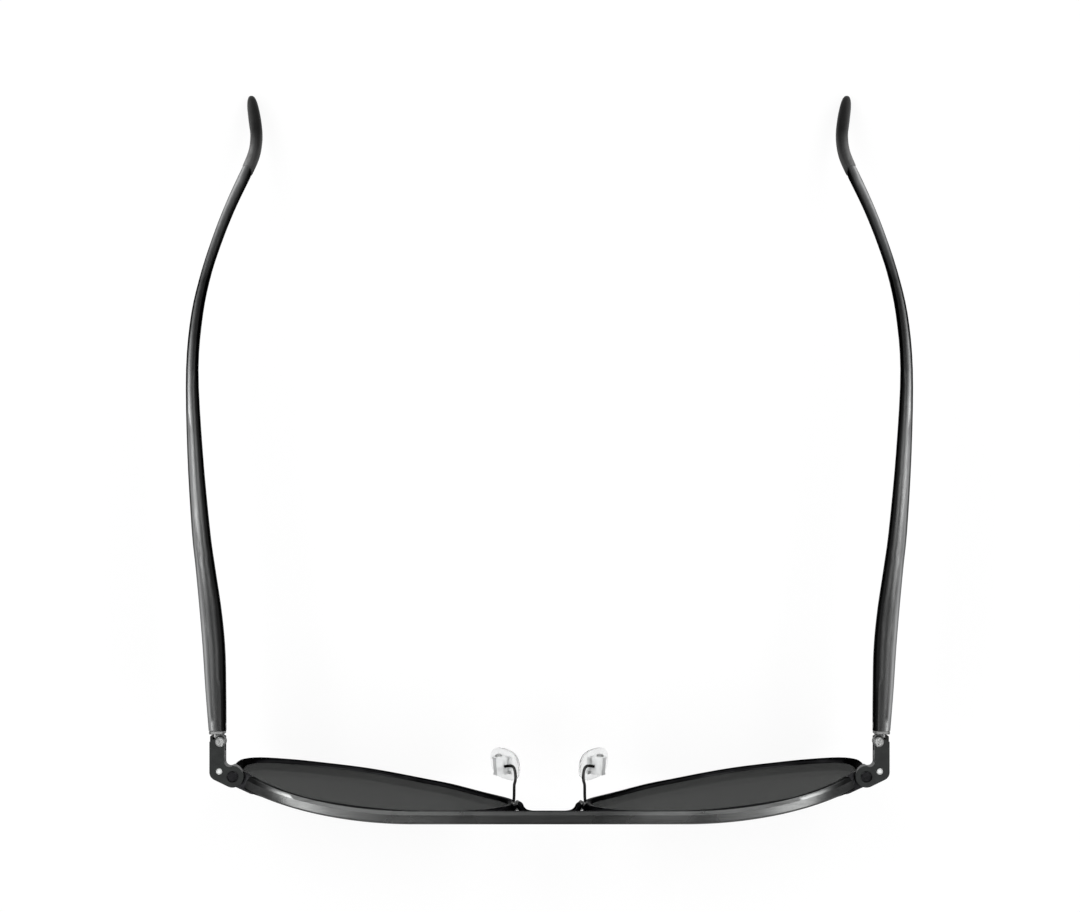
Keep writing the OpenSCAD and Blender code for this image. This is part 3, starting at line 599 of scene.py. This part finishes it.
def welded(node):
    """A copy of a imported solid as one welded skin, with its creases marked.
    Triangles of one flat face become that face."""
    kind = node.removesuffix("_left").removesuffix("_right")
    flat = FLAT.get(kind, USUAL_FLAT)
    bm = bmesh.new()
    bm.from_mesh(NODES[node].data)
    bmesh.ops.remove_doubles(bm, verts=bm.verts, dist=sizes().weld)
    if flat:
        bmesh.ops.dissolve_limit(
            bm, angle_limit=math.radians(flat), use_dissolve_boundaries=False,
            verts=bm.verts, edges=bm.edges, delimit=set())
    limit = math.radians(CREASE[kind])
    for face in bm.faces:
        face.smooth = True
        face.material_index = 0
    for edge in bm.edges:
        edge.smooth = edge.is_manifold and edge.calc_face_angle(0.0) < limit
    return bm


def even(piece):
    """Large flat faces keep their own shading, and the small ones beside them take the curve."""
    weigh = piece.modifiers.new("Even", "WEIGHTED_NORMAL")
    weigh.mode = "FACE_AREA"
    weigh.weight = 80
    weigh.keep_sharp = True
    return piece


def soften(piece, width):
    """Rounds the crisp edges of a piece."""
    bevel = piece.modifiers.new("Edge", "BEVEL")
    bevel.width = width
    bevel.segments = 2
    bevel.profile = 0.5
    bevel.limit_method = "ANGLE"
    bevel.angle_limit = math.radians(ROUNDED_FROM)
    bevel.use_clamp_overlap = True
    return even(piece)


def reskin(node, name, slot, material, edge=0.0):
    """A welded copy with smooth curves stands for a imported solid."""
    piece = settle(welded(node), name, NODES[node]["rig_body"], slot, material, replaced=(node,))
    return soften(piece, edge) if edge else piece


def measure_across(bm, outward, window=0.0013):
    """Stores on each point its share of the way from the inner to the outer side.
    The sides are those of the points within the window along the piece."""
    share = bm.verts.layers.float.new("across")
    for v in bm.verts:
        near = [w.co.x for w in bm.verts if abs(w.co.y - v.co.y) < window]
        low, high = min(near), max(near)
        part = (v.co.x - low) / max(high - low, 0.0001)
        v[share] = part if outward > 0 else 1 - part
    return bm


def rounder(piece):
    """Subdivision rounds a bent wire or a sleeve."""
    smooth = piece.modifiers.new("Rounder", "SUBSURF")
    smooth.levels = smooth.render_levels = 1
    return piece


def quads(bm, faces):
    """Pairs of triangles along a wire or a sleeve become quads."""
    bmesh.ops.join_triangles(
        bm, faces=faces, angle_face_threshold=math.radians(QUAD_BEND),
        angle_shape_threshold=math.radians(QUAD_SKEW))
    return bm


def pad_frame():
    """Place and turn of the right nose pad."""
    tilt, lean, splay = sizes().pad_turn
    return (Matrix.Translation(sizes().pad_place) @ Matrix.Rotation(tilt, 4, "X")
            @ Matrix.Rotation(splay, 4, "Z") @ Matrix.Rotation(lean, 4, "Y"))


def solder_bead(name, place, stretch, slot):
    """A flattened drop of solder on the front."""
    bm = bmesh.new()
    bmesh.ops.create_icosphere(bm, subdivisions=3, radius=1.0)
    for v in bm.verts:
        lump = 1 + BEAD_LUMPS * math.sin(5 * v.co.x + 3 * v.co.z) * math.cos(4 * v.co.y)
        v.co *= lump
    bmesh.ops.scale(bm, verts=bm.verts, vec=[share * sizes().solder for share in stretch])
    bmesh.ops.translate(bm, verts=bm.verts, vec=place)
    for face in bm.faces:
        face.smooth = True
    return settle(bm, name, "front", slot, solder_metal())


class SUN_OT_studio(bpy.types.Operator):
    """Camera over the sunglasses, white paper, soft boxes at both sides and plain surroundings"""
    bl_idname = "sunglasses.studio"
    bl_label = "Studio"

    def execute(self, context):
        s = studio()
        camera = bpy.data.cameras.new("camera")
        camera.lens = s.focal
        camera.sensor_width = SENSOR_WIDTH
        camera.clip_start = CLIP_START
        camera.clip_end = CLIP_END
        holder = bpy.data.objects.new("camera", camera)
        holder.location = s.camera_place
        context.scene.collection.objects.link(holder)
        context.scene.camera = holder
        self.paper(context, s)
        for name, side in (("soft_box_left", -1), ("soft_box_right", 1)):
            place = Vector((side * LAMP_SIDE, 0.0, LAMP_HEIGHT))
            self.soft_box(context, name, place, LAMP_SIZE, s.side_lamp)
        self.surroundings(context, s)
        context.scene.view_settings.view_transform = "Standard"
        return {"FINISHED"}

    def paper(self, context, s):
        """A round sheet under the part, which glows where it is seen and is plain for the light."""
        bm = bmesh.new()
        bmesh.ops.create_circle(
            bm, cap_ends=True, segments=PAPER_CORNERS, radius=s.floor_width / 2)
        low = min(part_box(n)[0].z for n in NODES)
        bmesh.ops.translate(bm, verts=bm.verts, vec=(0.0, 0.0, low - PAPER_GAP))
        mesh = bpy.data.meshes.new("paper")
        bm.to_mesh(mesh)
        bm.free()
        f = Finish("paper", 0.8)
        fibres = f.grain(400.0, detail=4.0)
        f.feed(Base_Color=f.between(fibres, tones(colours().floor, (0.3, 0.985), (0.7, 1.0))))
        f.set(Specular_IOR_Level=0.0)
        glow = f.nodes.new("ShaderNodeEmission")
        light = f.nodes.new("ShaderNodeLightPath")
        seen = light.outputs["Is Camera Ray"]
        for ray in ("Is Glossy Ray", "Is Transmission Ray"):
            either = f.nodes.new("ShaderNodeMath")
            either.operation = "MAXIMUM"
            f.links.new(seen, either.inputs[0])
            f.links.new(light.outputs[ray], either.inputs[1])
            seen = either.outputs["Value"]
        share = f.nodes.new("ShaderNodeMath")
        share.operation = "MULTIPLY"
        share.inputs[1].default_value = s.paper_glow
        f.links.new(seen, share.inputs[0])
        mix = f.nodes.new("ShaderNodeMixShader")
        f.links.new(share.outputs["Value"], mix.inputs["Fac"])
        f.links.new(f.shader.outputs["BSDF"], mix.inputs[1])
        f.links.new(glow.outputs["Emission"], mix.inputs[2])
        f.links.new(mix.outputs["Shader"], f.nodes["Material Output"].inputs["Surface"])
        mesh.materials.append(f.material)
        sheet = bpy.data.objects.new("paper", mesh)
        context.scene.collection.objects.link(sheet)

    def soft_box(self, context, name, place, size, radiance):
        """A lamp that looks straight down and that the camera doesn't see."""
        lamp = bpy.data.lights.new(name, "AREA")
        lamp.shape = "RECTANGLE"
        lamp.size, lamp.size_y = size
        lamp.energy = 4 * radiance * size[0] * size[1]
        holder = bpy.data.objects.new(name, lamp)
        holder.location = place
        holder.visible_camera = False
        context.scene.collection.objects.link(holder)

    def surroundings(self, context, s):
        """Plain greys that get darker upwards, which the metal mirrors."""
        world = bpy.data.worlds.new("surroundings")
        world.use_nodes = True
        nodes, links = world.node_tree.nodes, world.node_tree.links
        way = nodes.new("ShaderNodeTexCoord")
        parts = nodes.new("ShaderNodeSeparateXYZ")
        ramp = nodes.new("ShaderNodeValToRGB")
        fill_ramp(ramp, [(place, (grey, grey, grey * SKY_BLUE)) for place, grey in SKY_GREYS])
        links.new(way.outputs["Generated"], parts.inputs["Vector"])
        links.new(parts.outputs["Z"], ramp.inputs["Fac"])
        links.new(ramp.outputs["Color"], nodes["Background"].inputs["Color"])
        nodes["Background"].inputs["Strength"].default_value = s.sky
        context.scene.world = world


class SUN_OT_front(bpy.types.Operator):
    """Brow bar, rims and lower bridge, with the solder where wires meet the rims"""
    bl_idname = "sunglasses.front"
    bl_label = "Bar, rims and bridge"

    def execute(self, context):
        c = colours()
        brushed = known("brushed_bar", lambda n: brushed_finish(n, c.bar, 0, 0.27))
        # The bevel faces that look up and back get a lighter copy of the bar's metal, a painted
        # highlight
        lighter = known(
            "brushed_bevel_painted_highlight", lambda n: brushed_finish(n, c.bevel, 0, 0.3, black=BEVEL_BLACK))
        black = black_enamel()
        bm = welded("brow_bar")
        for face in bm.faces:
            if face.normal.y > BEVEL_FACING and face.normal.z > BEVEL_FACING:
                face.material_index = 1
        bar = settle(bm, "bar_skin", "front", "bar_metal", brushed, lighter, replaced=("brow_bar",))
        soften(bar, sizes().bar_edge)
        bm = welded("lower_bridge")
        rounder(settle(quads(bm, bm.faces), "bridge_skin", "front", "dark_metal", black,
                       replaced=("lower_bridge",)))
        for side in SIDES:
            reskin(f"rim_{side}", f"rim_skin_{side}", "dark_metal", black)
            solder_bead(f"bridge_solder_{side}", on_side(sizes().bridge_joint, side), BRIDGE_BEAD,
                        "dark_metal")
        return {"FINISHED"}


class SUN_OT_lenses(bpy.types.Operator):
    """Tinted lenses in the grooves of the rims"""
    bl_idname = "sunglasses.lenses"
    bl_label = "Lenses"

    def execute(self, context):
        front = known("lens_front", lambda n: lens_finish(n, colours().lens, 1.0))
        rear = known("lens_rear", lambda n: lens_finish(n, colours().lens, 0.0))
        for side in SIDES:
            node = f"lens_{side}"
            bm = welded(node)
            for face in bm.faces:
                face.material_index = 1 if face.normal.y > REAR_FACING else 0
            settle(bm, f"lens_skin_{side}", "front", "tinted_lens", front, rear, replaced=(node,))
        return {"FINISHED"}


class SUN_OT_brackets(bpy.types.Operator):
    """Hinge brackets with their rivets and screws"""
    bl_idname = "sunglasses.brackets"
    bl_label = "Hinge brackets"

    def execute(self, context):
        c = colours()
        charcoal = known("charcoal", lambda n: blasted_finish(n, c.bracket))
        bright = known("bright_rivet", lambda n: satin_finish(n, c.bright))
        for side in SIDES:
            reskin(f"hinge_bracket_{side}", f"bracket_skin_{side}", "bracket_metal", charcoal,
                   sizes().plate_edge)
            dress(f"bracket_rivet_{side}", bright)
            dress(f"hinge_screw_{side}", turned_steel())
            dress(f"rim_screw_{side}", black_enamel())
        return {"FINISHED"}


class SUN_OT_spring_hinges(bpy.types.Operator):
    """Sliders, nuts, springs, end plates and their screws"""
    bl_idname = "sunglasses.spring_hinges"
    bl_label = "Spring hinges"

    def execute(self, context):
        drawn = known("drawn_steel", lambda n: steel_finish(n, colours().drawn, 0.5, edge=0.6))
        steel = turned_steel()
        for side in SIDES:
            reskin(f"end_plate_{side}", f"end_plate_skin_{side}", "plain_steel", drawn,
                   sizes().plate_edge)
            spring = reskin(f"flex_spring_{side}", f"spring_skin_{side}", "plain_steel", steel)
            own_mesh(spring)
            dress(f"hinge_slider_{side}", drawn)
            for part in ("spring_nut", "plug_screw"):
                dress(f"{part}_{side}", steel)
        return {"FINISHED"}


class SUN_OT_pad_arms(bpy.types.Operator):
    """Wires that carry the nose pads, with their screws"""
    bl_idname = "sunglasses.pad_arms"
    bl_label = "Pad arms"

    def execute(self, context):
        c = colours()
        wire = known("black_wire", lambda n: steel_finish(n, c.wire, 0.25, edge=0.12))
        satin = known("satin_cup", lambda n: satin_finish(n, c.cup))
        mirror = Matrix.Diagonal((-1, 1, 1, 1))
        for side in SIDES:
            node = f"pad_arm_{side}"
            to_pad = (mirror if side == "left" else Matrix()) @ pad_frame()
            to_pad.invert()
            bm = welded(node)
            for face in bm.faces:
                height = (to_pad @ face.calc_center_median()).z
                face.material_index = 1 if height < sizes().cup_top else 0
            quads(bm, [f for f in bm.faces if f.material_index == 0])
            crisp = bm.edges.layers.float.new("crease_edge")
            for edge in bm.edges:
                edge[crisp] = 1.0 if any(f.material_index for f in edge.link_faces) else 0.0
            rounder(settle(bm, f"pad_arm_skin_{side}", "front", "arm_wire", wire, satin,
                           replaced=(node,)))
            solder_bead(f"arm_solder_{side}", on_side(sizes().arm_joint, side), ARM_BEAD,
                        "arm_wire")
            dress(f"pad_screw_{side}", turned_steel())
        return {"FINISHED"}


class SUN_OT_nose_pads(bpy.types.Operator):
    """Clear silicone pads round their plastic inserts"""
    bl_idname = "sunglasses.nose_pads"
    bl_label = "Nose pads"

    def execute(self, context):
        c, s = colours(), sizes()
        clear = known("soft_silicone", lambda n: silicone_finish(n, c.silicone))
        plastic = known("moulded_insert", lambda n: plastic_finish(n, c.insert))
        thick, wide, tall = s.pad_size
        place = pad_frame()
        for side in SIDES:
            bm = bmesh.new()
            bmesh.ops.create_uvsphere(bm, u_segments=48, v_segments=24, radius=0.5)
            bmesh.ops.rotate(bm, verts=bm.verts, cent=(0, 0, 0),
                             matrix=Matrix.Rotation(math.pi / 2, 3, "Y"))
            for v in bm.verts:
                reach = math.hypot(v.co.y, v.co.z) * 2
                if reach < 1e-6:
                    continue
                outer = v.co.x > 0
                full = 0.5 * reach ** (PAD_OUTER_RIM if outer else PAD_INNER_RIM)
                y, z = v.co.y * 2 / reach, v.co.z * 2 / reach
                depth = abs(v.co.x) * 2
                v.co.x = math.copysign(
                    0.5 * (depth ** PAD_OUTER_DOME if outer else depth), v.co.x)
                v.co.y = full * math.copysign(abs(y) ** PAD_CORNERS, y)
                v.co.z = full * math.copysign(abs(z) ** PAD_CORNERS, z)
            bmesh.ops.scale(bm, verts=bm.verts, vec=(thick, wide, tall))
            bmesh.ops.transform(bm, verts=bm.verts, matrix=place)
            if side == "left":
                bmesh.ops.scale(bm, verts=bm.verts, vec=(-1, 1, 1))
            bmesh.ops.recalc_face_normals(bm, faces=bm.faces)
            for face in bm.faces:
                face.smooth = True
            pad = settle(bm, f"silicone_pad_{side}", f"pad_{side}", "clear_silicone", clear,
                         replaced=(f"nose_pad_{side}",))
            reskin(f"pad_insert_{side}", f"pad_insert_skin_{side}", "insert_plastic", plastic)
        return {"FINISHED"}


class SUN_OT_temples(bpy.types.Operator):
    """Brushed temples with painted highlights and shade"""
    bl_idname = "sunglasses.temples"
    bl_label = "Temples"

    def execute(self, context):
        brushed = known(
            "brushed_temple", lambda n: brushed_finish(n, colours().temple, 1, 0.4))
        for side, outward in zip(SIDES, (-1, 1)):
            node = f"temple_{side}"
            bm = measure_across(welded(node), outward)
            even(settle(bm, f"temple_skin_{side}", f"arm_{side}", "temple_metal", brushed,
                        replaced=(node,)))
        return {"FINISHED"}


class SUN_OT_tips(bpy.types.Operator):
    """Rubber sleeves at the ends of the temples"""
    bl_idname = "sunglasses.tips"
    bl_label = "Temple tips"

    def execute(self, context):
        rubber = known("sleeve_rubber", lambda n: rubber_finish(n, colours().rubber))
        for side, outward in zip(SIDES, (-1, 1)):
            node = f"temple_tip_{side}"
            bm = measure_across(welded(node), outward)
            rounder(settle(quads(bm, bm.faces), f"tip_sleeve_{side}", f"arm_{side}", "tip_rubber",
                           rubber, replaced=(node,)))
        return {"FINISHED"}


class SUN_PT_workshop(bpy.types.Panel):
    """The steps that make the sunglasses, in their order"""
    bl_idname = "SUN_PT_workshop"
    bl_label = "Sunglasses"
    bl_space_type = "VIEW_3D"
    bl_region_type = "UI"
    bl_category = "Sunglasses"

    def draw(self, context):
        for step in STEPS:
            self.layout.operator(step.bl_idname)
        for group in ("frame_sizes", "frame_colours", "studio_sizes"):
            box = self.layout.box()
            owner = getattr(context.scene, group)
            for name in owner.__annotations__:
                box.prop(owner, name)


STEPS = (SUN_OT_studio, SUN_OT_front, SUN_OT_lenses, SUN_OT_brackets, SUN_OT_spring_hinges,
         SUN_OT_pad_arms, SUN_OT_nose_pads, SUN_OT_temples, SUN_OT_tips)
GROUPS = {"frame_sizes": FrameSizes, "frame_colours": FrameColours, "studio_sizes": StudioSizes}


def register():
    for cls in (*GROUPS.values(), *STEPS, SUN_PT_workshop):
        bpy.utils.register_class(cls)
    for name, group in GROUPS.items():
        setattr(bpy.types.Scene, name, bpy.props.PointerProperty(type=group))


def unregister():
    for name in GROUPS:
        delattr(bpy.types.Scene, name)
    for cls in (SUN_PT_workshop, *reversed(STEPS), *GROUPS.values()):
        bpy.utils.unregister_class(cls)


def main():
    register()
    bpy.ops.sunglasses.studio()
    bpy.ops.sunglasses.front()
    bpy.ops.sunglasses.lenses()
    bpy.ops.sunglasses.brackets()
    bpy.ops.sunglasses.spring_hinges()
    bpy.ops.sunglasses.pad_arms()
    bpy.ops.sunglasses.nose_pads()
    bpy.ops.sunglasses.temples()
    bpy.ops.sunglasses.tips()
    bpy.context.view_layer.update()


if __name__ == "__main__":
    main()
